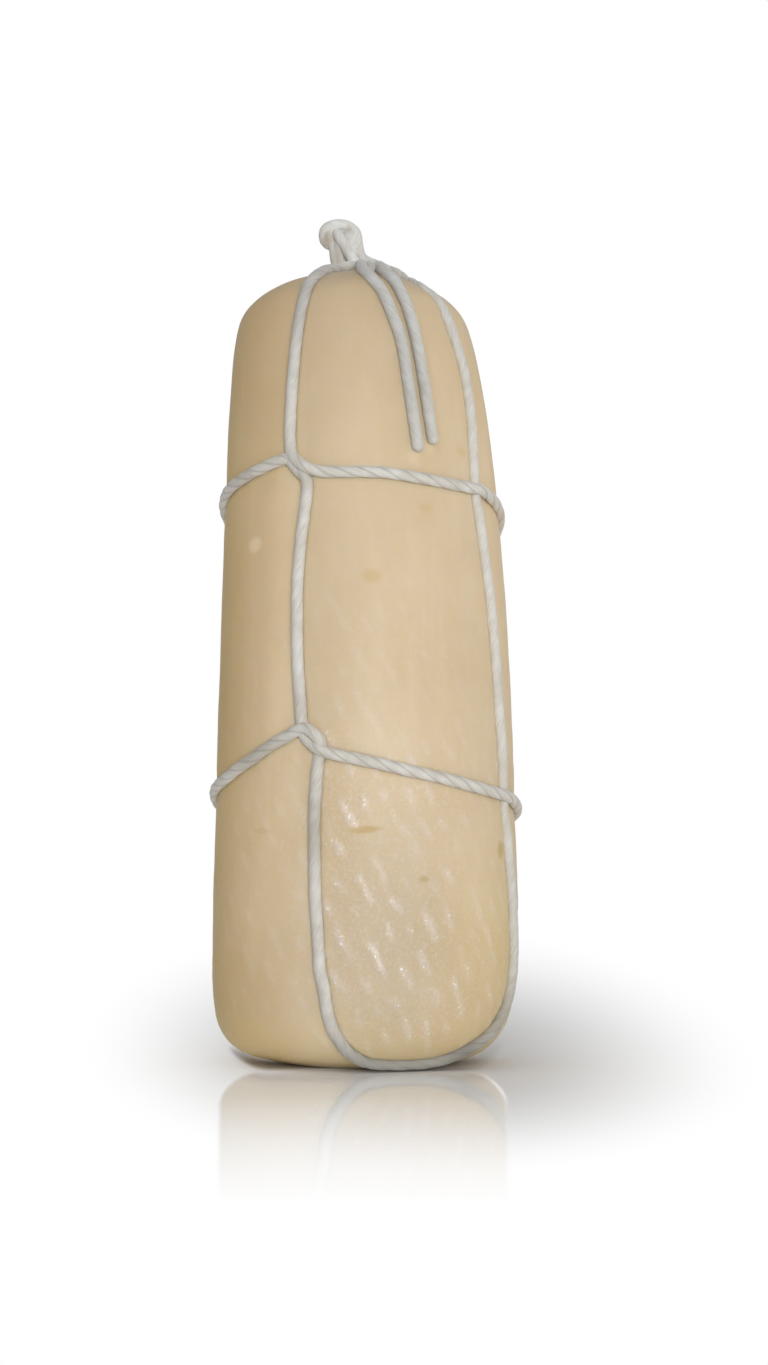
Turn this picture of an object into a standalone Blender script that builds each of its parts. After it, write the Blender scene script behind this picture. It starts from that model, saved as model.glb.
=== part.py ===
"""Scamorza: a tall, rounded cheese that tapers upwards and is tied with one white string.

The cheese stands upright on a small flat sole. The string starts at the knot on the crown, drops
down the front left, goes once round the cheese at two heights, cuts across the foot of the cheese
and climbs back to the knot. A second loop does the same on the far side. The string is pressed
half into the cheese, so the cheese has a groove under it. Its two ends hang down from the knot.

Units are metres, +Z is up, the front faces -Y, and the origin is under the middle of the cheese at
the level of its sole. Azimuths are degrees round the cheese from the front towards +X.
"""

import math

import bmesh
import bpy
from mathutils import Vector
from mathutils.geometry import interpolate_bezier

MM = 0.001

# The cheese: half of its upright section, as heights and radii.
CROWN_HEIGHT = 0.2645
CROWN_HANDLE = 0.012
SHOULDER_RADIUS = 0.0394
SHOULDER_HEIGHT = 0.247
SHOULDER_SLOPE = math.radians(19.6)
SHOULDER_HANDLE_UP = 0.011
SHOULDER_HANDLE_DOWN = 0.0235
BELLY_RADIUS = 0.0498
BELLY_HEIGHT = 0.0435
BELLY_HANDLE_UP = 0.045
BELLY_HANDLE_DOWN = 0.0325
SOLE_RADIUS = 0.0195
SOLE_HANDLE = 0.028

# The cheese isn't quite straight: it leans towards -X as it rises, its foot is drawn the same way,
# and the string holds its front left heel a little off the ground.
LEAN = 0.006
LEAN_POWER = 3.6
FOOT_SHIFT = 0.0022
FOOT_HEIGHT = 0.050
HEEL_LIFT = 0.0012
HEEL_AZIMUTH = math.radians(-48)
HEEL_START = SOLE_RADIUS
HEEL_FULL = 0.032

# How finely the cheese's outline and round are divided.
CROWN_STEPS = 9
FLANK_STEPS = 12
FOOT_STEPS = 10
ROUND_STEPS = 48
FINE_STEPS = 60
WELD = 0.00001

# The string.
STRING_RADIUS = 0.00185
STRING_ROUNDING = 2
STRING_PITCH = 0.0085
TAIL_PITCH = 0.006
KNOT_PITCH = 0.0028
FINE_PITCHES = 6
LIFT = 0.0003
GAP = 0.00035
CORE_SIZE = (0.0046, 0.0038, 0.0086)
CORE_PLACE = (-0.0076, -0.0014, 0.2755)
CORE_SEGMENTS = 12
CORE_RINGS = 8

# Colours as seen, 0 to 255.
CHEESE_COLOUR = (214, 193, 162)
STRING_COLOUR = (205, 200, 191)


# Waypoints. A pair or a triple lies on the cheese: azimuth in degrees, height in mm and, in a
# triple, how many mm the string's centre stands off the skin. A Vector is a free point, in mm.

def upper_loop():
    """From the knot down the front left, through the upper hitch and right-handed to the back."""
    return [
        Vector((-6.5, -1.5, 273.0)), Vector((-4.0, -6.6, 269.0)), Vector((-6.8, -11.2, 266.0)),
        (-13, 262.0, 1.3), (-16.5, 258.6, 0.7), (-18.2, 254.4, 0.4), (-20.8, 249.0),
        (-24, 237.5), (-26, 226.0), (-27.5, 212.0),
        (-28.3, 199.0), (-28, 193.4), (-27, 190.8, 0.9), (-24.7, 188.6, 1.7), (-21.5, 186.4, 1.9),
        (-18, 184.9, 1.3), (-14, 184.2, 0.6), (-5, 183.9), (9, 183.8), (24, 183.0), (38, 182.7),
        (47, 182.8, 0.8), (54, 183.0, 1.7), (62, 182.9, 0.9), (75, 182.0), (90, 179.5),
        (110, 176.0), (132, 173.0), (146, 172.2, 0.7), (154, 172.0, 1.7), (162, 172.0, 0.7),
        (181, 172.0),
    ]


def middle_loop():
    """From the back along the upper girth, down the middle drop and along the lower girth."""
    return [
        (179, 172.0), (205, 174.0), (226, 176.5, 0.7), (236, 178.0, 1.7), (245, 179.3, 0.7),
        (262, 182.0), (275, 184.3), (286, 185.9), (301, 186.9), (310, 187.8), (318, 188.6),
        (324, 189.4), (329, 189.9, 0.5), (331.8, 189.4, 0.2), (333.2, 187.6, 0.0),
        (335.5, 185.2, 0.0), (338.3, 183.0, 0.1), (339.2, 180.4), (339, 176.5), (338, 171.0),
        (336.5, 162.0), (335.2, 147.0), (335.4, 128.0), (336.2, 118.0), (337, 109.5),
        (337.4, 105.5), (338, 102.8, 0.2), (339.2, 100.4, 0.3), (341.7, 98.2, 0.6),
        (345, 96.4, 1.5), (349, 95.2, 0.8), (354, 94.3), (363, 92.7), (374, 90.6), (389, 88.4),
        (402, 86.5), (415, 85.1, 0.8), (423.5, 84.3, 1.7), (432, 83.4, 0.8), (450, 81.0),
        (470, 79.0), (492, 77.6), (512, 77.0, 0.7), (520.5, 77.0, 1.7), (529, 77.0, 0.7),
        (541, 77.0),
    ]


def lower_loop():
    """From the back along the lower girth, down the front, across the foot and up the right."""
    return [
        (179, 77.0), (205, 78.0), (234, 80.2, 0.7), (243.5, 81.2, 1.7), (253, 82.4, 0.7),
        (266, 84.8), (280, 87.4), (298, 90.2), (307, 92.7), (315, 94.9), (321, 97.3),
        (326, 99.2), (331.5, 101.0, 0.5), (335.5, 102.3, 1.5), (338.7, 103.1, 2.5),
        (341.3, 102.5, 2.7), (343.9, 100.5, 2.2), (345, 98.1, 0.9), (344.5, 96.0, -0.6),
        (343.8, 93.6, -0.1), (343.5, 90.5), (343, 84.4), (342.5, 75.0), (342.7, 66.0),
        (343, 54.5), (344, 42.6), (345.2, 31.0), (346.8, 25.0), (348, 19.2), (350, 13.4),
        (352.2, 10.0), (355, 6.9), (359, 4.5), (365, 2.9), (374, 2.5), (384, 2.5), (394, 2.8),
        (403, 4.0), (410, 6.1), (415.5, 8.0), (419, 9.6), (422.5, 12.2), (425.5, 15.8),
        (428, 20.0), (430, 26.0, 0.2), (430.8, 34.0, 0.1), (430, 45.0, 0.0), (428, 57.0, 0.0),
        (425.4, 71.0, -0.2), (423.8, 84.2, -0.8), (423, 97.0, -0.1), (421.5, 112.0, -0.1),
        (420.5, 130.0, -0.1), (418.3, 150.0, -0.1), (416, 164.0, -0.1), (414.4, 176.0, -0.2),
        (414, 183.0, -0.8), (414.8, 197.0, -0.2), (416, 213.0, -0.1), (415, 226.0, -0.1),
        (411.6, 237.0, -0.2), (409.8, 244.0, -0.6), (408.6, 247.8, -0.9), (407.4, 250.3, -1.0),
        (405, 253.4, -0.9), (408, 256.8, -0.6), (415, 259.5, 0.4), Vector((11.3, -9.6, 263.6)),
        Vector((7.4, -6.0, 267.0)), Vector((-0.5, -3.0, 271.8)), Vector((-4.5, -1.5, 275.0)),
    ]


def far_loop():
    """From the knot down the back, across the foot behind and up the left, out of the girths."""
    return [
        Vector((-7.5, 0.5, 272.0)), Vector((-6.0, 6.0, 268.5)), Vector((-3.5, 13.0, 266.0)),
        (161, 257.0), (159, 250.0), (156, 236.0), (154.5, 215.0), (154, 190.0),
        (154, 172.0, -0.8), (155.5, 150.0), (157.5, 125.0), (159.5, 100.0), (160.5, 77.0, -0.8),
        (162.5, 55.0), (164.5, 33.0), (167, 19.0), (171, 10.0), (176, 5.2), (183, 3.0),
        (193, 2.5), (205, 2.6), (216, 3.5), (225, 5.9), (233, 9.0), (240, 13.5), (246, 20.5),
        (249, 31.0), (248.5, 46.0), (246.5, 62.0), (243.5, 81.2, -0.8), (241, 105.0),
        (239.5, 130.0), (237.5, 155.0), (236, 178.0, -0.8), (236.5, 200.0), (236.5, 221.0),
        (234, 237.0), (231, 248.0), (229, 256.0), Vector((-19.5, 10.5, 265.0)),
        Vector((-14.0, 5.5, 267.6)), Vector((-9.5, 1.5, 271.5)),
    ]


def knot_strands():
    """The strands of the knot: two ends that come up from the tails and lie over each other."""
    return [
        [Vector((0.8, -7.7, 267.7)), Vector((-1.2, -6.8, 270.4)), Vector((-2.6, -5.8, 274.0)),
         Vector((-3.2, -5.0, 278.4)), Vector((-3.9, -4.5, 281.4)), Vector((-6.2, -3.8, 283.8)),
         Vector((-9.3, -3.4, 284.5)), Vector((-12.2, -3.4, 284.1)), Vector((-14.5, -3.5, 282.4)),
         Vector((-14.9, -3.6, 280.2)), Vector((-13.5, -3.2, 278.4)), Vector((-10.8, -1.6, 278.0)),
         Vector((-8.2, -0.6, 278.8))],
        [Vector((-3.1, -9.6, 267.2)), Vector((-4.8, -8.8, 270.0)), Vector((-7.0, -7.2, 274.2)),
         Vector((-8.9, -6.2, 278.0)), Vector((-10.2, -4.6, 280.8)), Vector((-11.0, -1.4, 282.4)),
         Vector((-9.4, 0.8, 281.6)), Vector((-7.4, 0.8, 279.0))],
        [Vector((-4.6, -7.4, 270.8)), Vector((-5.2, -6.6, 274.4)), Vector((-5.6, -5.8, 278.0)),
         Vector((-6.4, -4.8, 280.4)), Vector((-6.9, -2.6, 281.6)), Vector((-7.0, -0.8, 279.5))],
        [Vector((-9.8, -2.6, 268.2)), Vector((-10.8, -3.2, 272.0)), Vector((-11.3, -2.8, 276.0)),
         Vector((-12.0, -2.4, 279.6)), Vector((-11.2, -1.6, 281.8))],
        [Vector((-6.4, 1.6, 268.0)), Vector((-6.9, 2.2, 272.6)), Vector((-7.5, 1.8, 277.6)),
         Vector((-7.9, 0.2, 281.0))],
    ]


def left_tail():
    """The left end of the string: over the front of the crown and down the front."""
    return [
        Vector((-2.0, -11.5, 265.9)), (14.5, 262.0, 2.2), (10.5, 260.0, 2.2), (7.8, 256.6, 2.2),
        (6.9, 252.9, 2.2), (10.2, 249.0, 2.2), (13.9, 244.4, 2.2), (17.2, 235.8, 2.2),
        (19.5, 228.0, 2.2), (20.6, 217.0, 2.2), (21.5, 206.0, 2.2), (22.3, 198.0, 2.2),
        (23.1, 191.0, 2.2),
    ]


def right_tail():
    """The right end of the string, beside the left one."""
    return [
        Vector((1.7, -9.0, 266.6)), (33, 262.0, 2.2), (22.9, 258.8, 2.2), (17.9, 253.7, 2.2),
        (20.2, 250.0, 2.2), (22.3, 245.4, 2.2), (24.4, 239.7, 2.2), (26.3, 229.0, 2.2),
        (27.5, 217.0, 2.2), (28.4, 206.0, 2.2), (29.2, 199.0, 2.2), (29.8, 194.2, 2.2),
    ]


# Building blocks

def clear_scene():
    """Empty the scene."""
    for scene_object in list(bpy.data.objects):
        bpy.data.objects.remove(scene_object, do_unlink=True)


def make_collection(name):
    """Make a collection in the scene."""
    collection = bpy.data.collections.new(name)
    bpy.context.scene.collection.children.link(collection)
    return collection


def linear(colour):
    """Turn a colour as seen, 0 to 255, into linear light."""
    shares = [value / 255 for value in colour]
    return [share / 12.92 if share <= 0.04045 else ((share + 0.055) / 1.055) ** 2.4
            for share in shares]


def make_material(name, colour, roughness):
    """Make a plain material."""
    material = bpy.data.materials.new(name)
    material.use_nodes = True
    shader = material.node_tree.nodes["Principled BSDF"]
    shader.inputs["Base Color"].default_value = (*linear(colour), 1.0)
    shader.inputs["Roughness"].default_value = roughness
    shader.inputs["Metallic"].default_value = 0.0
    return material


def cheese_outline(crown_steps, flank_steps, foot_steps):
    """Radii and heights down the cheese, from the middle of its crown to the middle of its sole."""
    slope = Vector((math.sin(SHOULDER_SLOPE), -math.cos(SHOULDER_SLOPE)))
    crown = Vector((0.0, CROWN_HEIGHT))
    shoulder = Vector((SHOULDER_RADIUS, SHOULDER_HEIGHT))
    belly = Vector((BELLY_RADIUS, BELLY_HEIGHT))
    sole = Vector((SOLE_RADIUS, 0.0))
    stretches = [
        (crown, crown + Vector((CROWN_HANDLE, 0.0)), shoulder - slope * SHOULDER_HANDLE_UP,
         shoulder, crown_steps),
        (shoulder, shoulder + slope * SHOULDER_HANDLE_DOWN,
         belly + Vector((0.0, BELLY_HANDLE_UP)), belly, flank_steps),
        (belly, belly - Vector((0.0, BELLY_HANDLE_DOWN)), sole + Vector((SOLE_HANDLE, 0.0)),
         sole, foot_steps),
    ]
    outline = [crown]
    for start, start_handle, end_handle, end, steps in stretches:
        outline += interpolate_bezier(start, start_handle, end_handle, end, steps + 1)[1:]
    return outline + [Vector((SOLE_RADIUS / 2, 0.0)), Vector((0.0, 0.0))]


FINE_OUTLINE = cheese_outline(FINE_STEPS, FINE_STEPS, FINE_STEPS)


def ramp(value, start, end):
    """Rise smoothly from 0 at start to 1 at end."""
    share = min(max((value - start) / (end - start), 0.0), 1.0)
    return share * share * (3 - 2 * share)


def sideways(height):
    """How far the cheese's middle lies along X at a height."""
    low = max(1 - height / FOOT_HEIGHT, 0.0)
    return -LEAN * max(height / CROWN_HEIGHT, 0.0) ** LEAN_POWER - FOOT_SHIFT * low ** 2


def settle(point):
    """Move a point of the straight cheese to where it lies on the leaning one."""
    azimuth = math.atan2(point.x, -point.y)
    towards_heel = max(math.cos(azimuth - HEEL_AZIMUTH), 0.0) ** 2
    outwards = ramp(math.hypot(point.x, point.y), HEEL_START, HEEL_FULL)
    low = ramp(point.z, FOOT_HEIGHT, 0.0)
    lift = HEEL_LIFT * towards_heel * outwards * low
    return Vector((point.x + sideways(point.z), point.y, point.z + lift))


def at_azimuth(azimuth, radius, height):
    """A point of the straight cheese."""
    return Vector((radius * math.sin(azimuth), -radius * math.cos(azimuth), height))


def skin_point(azimuth, height):
    """The straight cheese's skin at an azimuth and a height, above the sole."""
    for upper, lower in zip(FINE_OUTLINE, FINE_OUTLINE[1:]):
        if upper.y >= height > lower.y:
            share = (upper.y - height) / (upper.y - lower.y)
            return at_azimuth(azimuth, upper.x + (lower.x - upper.x) * share, height)
    raise ValueError("no skin at this height")


def pull_to_skin(point, lift):
    """Move a point of the straight cheese to its nearest skin, and stand it off by a lift."""
    azimuth = math.atan2(point.x, -point.y)
    flat = Vector((math.hypot(point.x, point.y), point.z))
    nearest = None
    for upper, lower in zip(FINE_OUTLINE, FINE_OUTLINE[1:]):
        along = lower - upper
        share = min(max((flat - upper).dot(along) / along.length_squared, 0.0), 1.0)
        foot = upper + along * share
        distance = (flat - foot).length
        if nearest is None or distance < nearest[0]:
            nearest = (distance, foot, Vector((-along.y, along.x)).normalized())
    spot = nearest[1] + nearest[2] * lift
    return at_azimuth(azimuth, spot.x, spot.y)


def blend(values, share):
    """A smooth curve through the two middle ones of four values."""
    before, start, end, after = values
    pull_out = (end - before) / 2
    pull_in = (after - start) / 2
    square = share * share
    cube = square * share
    return (start * (2 * cube - 3 * square + 1) + pull_out * (cube - 2 * square + share)
            + end * (3 * square - 2 * cube) + pull_in * (cube - square))


def straighten(point):
    """The reverse of the sideways move, for a free point."""
    return Vector((point.x - sideways(point.z), point.y, point.z))


def trace(waypoints, pitch):
    """Points along a smooth curve through waypoints, a pitch apart, on the leaning cheese."""
    spots = []
    for waypoint in waypoints:
        if isinstance(waypoint, Vector):
            spots.append((straighten(waypoint * MM), None))
        else:
            lift = waypoint[2] * MM if len(waypoint) == 3 else LIFT
            skin = skin_point(math.radians(waypoint[0]), waypoint[1] * MM)
            spots.append((pull_to_skin(skin, lift), lift))
    dense = []
    for number in range(len(spots) - 1):
        around = [spots[min(max(number + step, 0), len(spots) - 1)] for step in (-1, 0, 1, 2)]
        places = [spot[0] for spot in around]
        parts = max(int((places[2] - places[1]).length / pitch * FINE_PITCHES), 2)
        for part in range(parts):
            share = part / parts
            place = blend(places, share)
            if around[1][1] is not None and around[2][1] is not None:
                place = pull_to_skin(place, around[1][1] + (around[2][1] - around[1][1]) * share)
            dense.append(settle(place))
    dense.append(settle(spots[-1][0]))
    return space_out(dense, pitch)


def space_out(points, pitch):
    """Points evenly along a line, about a pitch apart, with both of its ends."""
    lengths = [0.0]
    for start, end in zip(points, points[1:]):
        lengths.append(lengths[-1] + (end - start).length)
    parts = max(round(lengths[-1] / pitch), 1)
    spaced = []
    number = 0
    for part in range(parts):
        target = lengths[-1] * part / parts
        while lengths[number + 1] < target:
            number += 1
        share = (target - lengths[number]) / (lengths[number + 1] - lengths[number])
        spaced.append(points[number].lerp(points[number + 1], share))
    return spaced + [points[-1]]


def make_object(name, mesh, collection, material=None):
    """Put a mesh in the scene as an object."""
    made = bpy.data.objects.new(name, mesh)
    collection.objects.link(made)
    if material:
        mesh.materials.clear()
        mesh.materials.append(material)
    return made


def make_tube(name, points, radius, collection, material=None):
    """A closed round tube along points."""
    curve = bpy.data.curves.new(name + "_line", "CURVE")
    curve.dimensions = "3D"
    curve.bevel_depth = radius
    curve.bevel_resolution = STRING_ROUNDING
    curve.use_fill_caps = True
    spline = curve.splines.new("POLY")
    spline.points.add(len(points) - 1)
    for control, point in zip(spline.points, points):
        control.co = (*point, 1.0)
    line = make_object(name + "_line", curve, collection)
    evaluated = line.evaluated_get(bpy.context.evaluated_depsgraph_get())
    mesh = bpy.data.meshes.new_from_object(evaluated)
    mesh.name = name
    place = line.matrix_world.copy()
    bpy.data.objects.remove(line, do_unlink=True)
    weld(mesh)
    mesh.shade_smooth()
    tube = make_object(name, mesh, collection, material)
    tube.matrix_world = place
    return tube


def weld(mesh):
    """Join the loose caps or poles of a closed mesh and face it outwards."""
    shell = bmesh.new()
    shell.from_mesh(mesh)
    bmesh.ops.remove_doubles(shell, verts=shell.verts, dist=WELD)
    bmesh.ops.recalc_face_normals(shell, faces=shell.faces)
    shell.to_mesh(mesh)
    shell.free()


def as_cutter(made):
    """Show an object as a guide only."""
    made.hide_render = True
    made.display_type = "WIRE"


def combine(target, operation, collection):
    """Join a collection to an object, or cut it away."""
    boolean = target.modifiers.new(operation.title(), "BOOLEAN")
    boolean.operation = operation
    boolean.operand_type = "COLLECTION"
    boolean.collection = collection
    boolean.solver = "EXACT"


# Parts

def make_cheese(parts, material):
    """The cheese, turned from its outline and then leant."""
    outline = cheese_outline(CROWN_STEPS, FLANK_STEPS, FOOT_STEPS)
    profile = bpy.data.meshes.new("cheese_outline")
    edges = [(number, number + 1) for number in range(len(outline) - 1)]
    profile.from_pydata([(point.x, 0.0, point.y) for point in outline], edges, [])
    turned = make_object("cheese_outline", profile, parts)
    screw = turned.modifiers.new("Turn", "SCREW")
    screw.steps = ROUND_STEPS
    screw.render_steps = ROUND_STEPS
    screw.use_merge_vertices = True
    screw.merge_threshold = WELD
    evaluated = turned.evaluated_get(bpy.context.evaluated_depsgraph_get())
    mesh = bpy.data.meshes.new_from_object(evaluated)
    mesh.name = "cheese"
    bpy.data.objects.remove(turned, do_unlink=True)
    weld(mesh)
    for vertex in mesh.vertices:
        vertex.co = settle(vertex.co)
    mesh.shade_smooth()
    return make_object("cheese", mesh, parts, material)


def make_knot_core(collection):
    """The tight middle of the knot, which its strands wrap."""
    bpy.ops.mesh.primitive_uv_sphere_add(segments=CORE_SEGMENTS, ring_count=CORE_RINGS, radius=1.0,
                                         location=CORE_PLACE)
    core = bpy.context.active_object
    core.name = "knot_core"
    core.scale = CORE_SIZE
    for home in list(core.users_collection):
        home.objects.unlink(core)
    collection.objects.link(core)
    return core


def main():
    """Build the cheese, its string and the string's two ends."""
    clear_scene()
    parts = make_collection("scamorza")
    groove_cutters = make_collection("groove_cutters")
    string_strands = make_collection("string_strands")
    cheese_material = make_material("cheese", CHEESE_COLOUR, 0.42)
    string_material = make_material("string", STRING_COLOUR, 0.85)

    cheese = make_cheese(parts, cheese_material)
    loops = [upper_loop(), middle_loop(), lower_loop(), far_loop()]
    traced = [trace(loop, STRING_PITCH) for loop in loops]
    for number, points in enumerate(traced):
        cutter = make_tube(f"groove_{number}", points, STRING_RADIUS + GAP, groove_cutters)
        as_cutter(cutter)
    combine(cheese, "DIFFERENCE", groove_cutters)

    string = make_tube("string", traced[0], STRING_RADIUS, parts, string_material)
    for number, points in enumerate(traced[1:]):
        as_cutter(make_tube(f"loop_{number}", points, STRING_RADIUS, string_strands))
    for number, strand in enumerate(knot_strands()):
        points = trace(strand, KNOT_PITCH)
        as_cutter(make_tube(f"strand_{number}", points, STRING_RADIUS, string_strands))
    as_cutter(make_knot_core(string_strands))
    combine(string, "UNION", string_strands)

    for name, waypoints in (("tail_left", left_tail()), ("tail_right", right_tail())):
        make_tube(name, trace(waypoints, TAIL_PITCH), STRING_RADIUS, parts, string_material)


main()
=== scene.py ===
"""The looks of the scamorza: its skin, its twisted string and the light it stands in.

Everything is in metres in the frame's own axes: +Z is up and the front faces -Y. The cheese's
outline and the string's route repeat those of the solids, and both are then made much finer.
"""

import math

import bpy
import numpy as np
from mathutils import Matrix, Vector, kdtree, noise
from mathutils.geometry import interpolate_bezier


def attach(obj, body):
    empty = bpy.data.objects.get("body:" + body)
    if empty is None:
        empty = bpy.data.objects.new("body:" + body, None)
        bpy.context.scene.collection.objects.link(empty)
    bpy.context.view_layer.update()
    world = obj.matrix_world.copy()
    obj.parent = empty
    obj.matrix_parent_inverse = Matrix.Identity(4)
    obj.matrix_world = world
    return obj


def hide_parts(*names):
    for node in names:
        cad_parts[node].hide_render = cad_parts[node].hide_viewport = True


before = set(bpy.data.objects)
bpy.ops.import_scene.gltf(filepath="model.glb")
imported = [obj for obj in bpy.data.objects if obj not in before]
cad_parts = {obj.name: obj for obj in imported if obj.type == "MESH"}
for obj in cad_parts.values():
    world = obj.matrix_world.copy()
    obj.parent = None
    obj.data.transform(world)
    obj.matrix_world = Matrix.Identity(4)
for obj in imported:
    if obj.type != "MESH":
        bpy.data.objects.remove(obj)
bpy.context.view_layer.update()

MM = 0.001

# The camera, which stands low before the cheese and looks a little up.
CAMERA_PLACE = (0.006, -0.534, 0.045)
CAMERA_PITCH = math.radians(8.45)
SENSOR = 36.0
LENS = 42.49

# The cheese: half of its upright section, as heights and radii.
CROWN_HEIGHT = 0.2645
CROWN_HANDLE = 0.012
SHOULDER_RADIUS = 0.0394
SHOULDER_HEIGHT = 0.247
SHOULDER_SLOPE = math.radians(19.6)
SHOULDER_HANDLE_UP = 0.011
SHOULDER_HANDLE_DOWN = 0.0235
BELLY_RADIUS = 0.0498
BELLY_HEIGHT = 0.0435
BELLY_HANDLE_UP = 0.045
BELLY_HANDLE_DOWN = 0.0325
SOLE_RADIUS = 0.0195
SOLE_HANDLE = 0.028

# How it leans, and how its front left heel is drawn up.
LEAN = 0.006
LEAN_POWER = 3.6
FOOT_SHIFT = 0.0022
FOOT_HEIGHT = 0.050
HEEL_LIFT = 0.0012
HEEL_AZIMUTH = math.radians(-48)
HEEL_START = SOLE_RADIUS
HEEL_FULL = 0.032

# The cheese's fine mesh.
SKIN_AROUND = 300
SKIN_ALONG = 312
OUTLINE_STEPS = 60

# The skin's relief: rows of short ridges that fall to the right and are broken into beads, and
# soft lumps as heights and sizes.
ROWS = 43
ROW_SLOPE = math.radians(62)
ROW_WAVER = 0.2
ROW_WAVER_SIZE = 0.013
BEAD_BREADTH = 0.0045
BEAD_LENGTH = 0.0062
BEAD_PATTERN = 1.9
BEAD_BREAKS = (-0.2, 0.45)
BEAD_CREST = (-0.1, 1.0)
RIDGE_HEIGHT = 0.00026
RIDGE_SINK = 0.2
LUMPS = [(0.00022, 0.022), (0.00007, 0.008)]
RELIEF_START = (0.002, 0.012)

# Where the beads show: azimuths in degrees and heights between which they come or go, the shares
# that are left elsewhere and above, and those that are lost at the right and in the middle.
BEADS_FROM = (338, 350)
BEADS_TO = (215, 200)
BEADS_ELSEWHERE = 0.42
BEADS_RIGHT = ((22, 50), (100, 80), 0.35)
BEADS_MIDDLE = ((0.046, 0.06), (120, 90), 0.25)
BEADS_FEWER = (0.115, 0.08)
BEADS_ABOVE = 0.34
BEADS_TOP = (0.17, 0.13)

# How the skin gives way: a groove under the string, a dent around it, and a swelling at a tail.
GROOVE_HALF = 0.0027
DENT_DEPTH = 0.0004
DENT_REACH = 0.006
DENT_START = (0.004, 0.014)
SWELL_HEIGHT = 0.0011
SWELL_REACH = 0.0026
SWELL_CONTACT = (0.0036, 0.0024)

# The studio's light: the same all round, and more of it from some sides. Behind the cheese, the
# table's mirror sees white within a cone, which these cosines bound.
WORLD_LIGHT = 0.242
WORLD_SIDES = [((0.7, -0.7, 0.0), 0.272), ((0.0, 1.0, 0.0), 0.242), ((0.0, 0.0, 1.0), 0.161),
               ((0.0, 0.0, -1.0), 0.495)]
WHITE_CONE = (0.92, 0.96)
KEY_PLACE = (0.2, -1.2, 0.05)
KEY_AIM = (0.0, 0.0, 0.12)
KEY_SIZE = 0.5
KEY_POWER = 7.3

# The table, and the pool of shade on it: its middle along X, where it starts to fade and where
# it has faded, and how much of the depth behind and before its middle counts. The shading is laid
# out as it is seen from the front: a spot's nearness is VIEW_DEPTH over its depth, so it is 1 at
# the cheese's middle, and breadths are multiplied by it.
FLOOR_FRONT = -0.45
FLOOR_REACH = 12.0
VIEW_DEPTH = -CAMERA_PLACE[1]
POOL_MIDDLE = 0.018
POOL_CORE = 0.016
POOL_EDGE = 0.112
POOL_BEHIND = 0.11
POOL_BEFORE = 0.14

# The outlines of the foot and of its mirror image on the table, laid out in the same way: their
# middle, the half breadths between their round corners, the corners' breadths and depths, and the
# nearness at which the corners start. Then the ranges, of an outline, of nearness or along Y, over
# which the fringe, a painted contact shadow, and the image come in, and the image lightens the pool
# and shines.
FOOT_MIDDLE = -0.0068
FOOT_STRAIGHT = 0.0299
FOOT_CORNER = (0.0199, 0.6)
FOOT_CORNER_START = 0.45
IMAGE_STRAIGHT = 0.0325
IMAGE_CORNER = (0.0149, 0.25)
IMAGE_CORNER_START = 1.3
FRINGE_OUTSIDE = (1.12, 0.97)
FRINGE_INSIDE = (0.7, 0.94)
FRINGE_NEARNESS = (0.8, 0.95)
IMAGE_EDGE = (1.0, 0.84)
IMAGE_START = (0.0, -0.03)
IMAGE_LIGHTENS = (-0.025, -0.07, 0.0, 0.5)
IMAGE_SHINES = (-0.265, -0.1, 0.0, 0.55)
MIRROR_ROUGHNESS = 0.06
POOL_GREY = (0.95, 0.95, 0.95, 1.0)
# The grey of the painted contact shadow in the fringe.
SHADOW_FRINGE_GREY = (0.78, 0.78, 0.78, 1.0)

# The string: three plies that are laid together. They show deeply in the girths, faintly in the
# drops and by half in the knot and the tails. The string has thick and thin places and fine grit,
# whose steps keep the plies, the sides and the pieces apart.
STRING_RADIUS = 0.00185
LIFT = 0.0003
ROUTE_STEP = 0.001
RING_PITCH = 0.0007
LAY_LENGTH = 0.021
PLIES = 3
PLY_SIDES = 8
GIRTH_DEPTH = 0.12
DROP_DEPTH = 0.04
HALF_TWIST = 0.5
CREASE_POWER = 0.6
SLUB_LENGTH = 0.012
SLUB_SHARE = 0.05
SLUB_STEPS = (7.3, 3.1)
GRIT_LENGTH = 0.0016
GRIT_SHARE = 0.03
GRIT_STEPS = (0.9, 5.7)
KNOT_SEED = 10
TAIL_SEED = 20
END_ROUNDING = 0.8 * STRING_RADIUS
END_LEAST = 0.05
# The crease depth given to the string's end points and the knot's cores, which becomes a little
# painted shade.
PLAIN_GROOVE = 0.3

# The knot's cores: places and half sizes, and their lumps as depths and how close they lie.
CORES = [((-0.0076, -0.0016, 0.2748), (0.0050, 0.0050, 0.0092)),
         ((-0.0124, -0.0020, 0.2803), (0.0036, 0.0032, 0.0035))]
CORE_RINGS = 30
CORE_SIDES = 36
CORE_LUMPS = [(0.12, 2.1), (0.03, 9.0)]

# Noises: how many clouds, specks and so on there are in a metre, their detail and roughness.
CLOUDS = (26.0, 3.0, 0.55)
STREAKS = ((120.0, 120.0, 22.0), 3.0, 0.6)
SPECKS = (420.0, 2.0, 0.6)
GRAINS = (900.0, 3.0, 0.65)
SPARKS = (1000.0, 1.0, 0.5)
FIBRES = ((180.0, 2600.0, 2600.0), 4.0, 0.6)
BRIGHTS = (160.0, 2.0, 0.5)
STAINS = (90.0, 3.0, 0.6)

# Colours as seen, 0 to 255.
CHEESE_COLOUR = (219, 199, 167)
PEARL_SHEEN_COLOUR = (233, 222, 215)
GLINT_COLOUR = (254, 252, 252)
HEEL_LIGHT_COLOUR = (236, 218, 190)
FIBRE_COLOUR = (202, 197, 187)
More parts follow.
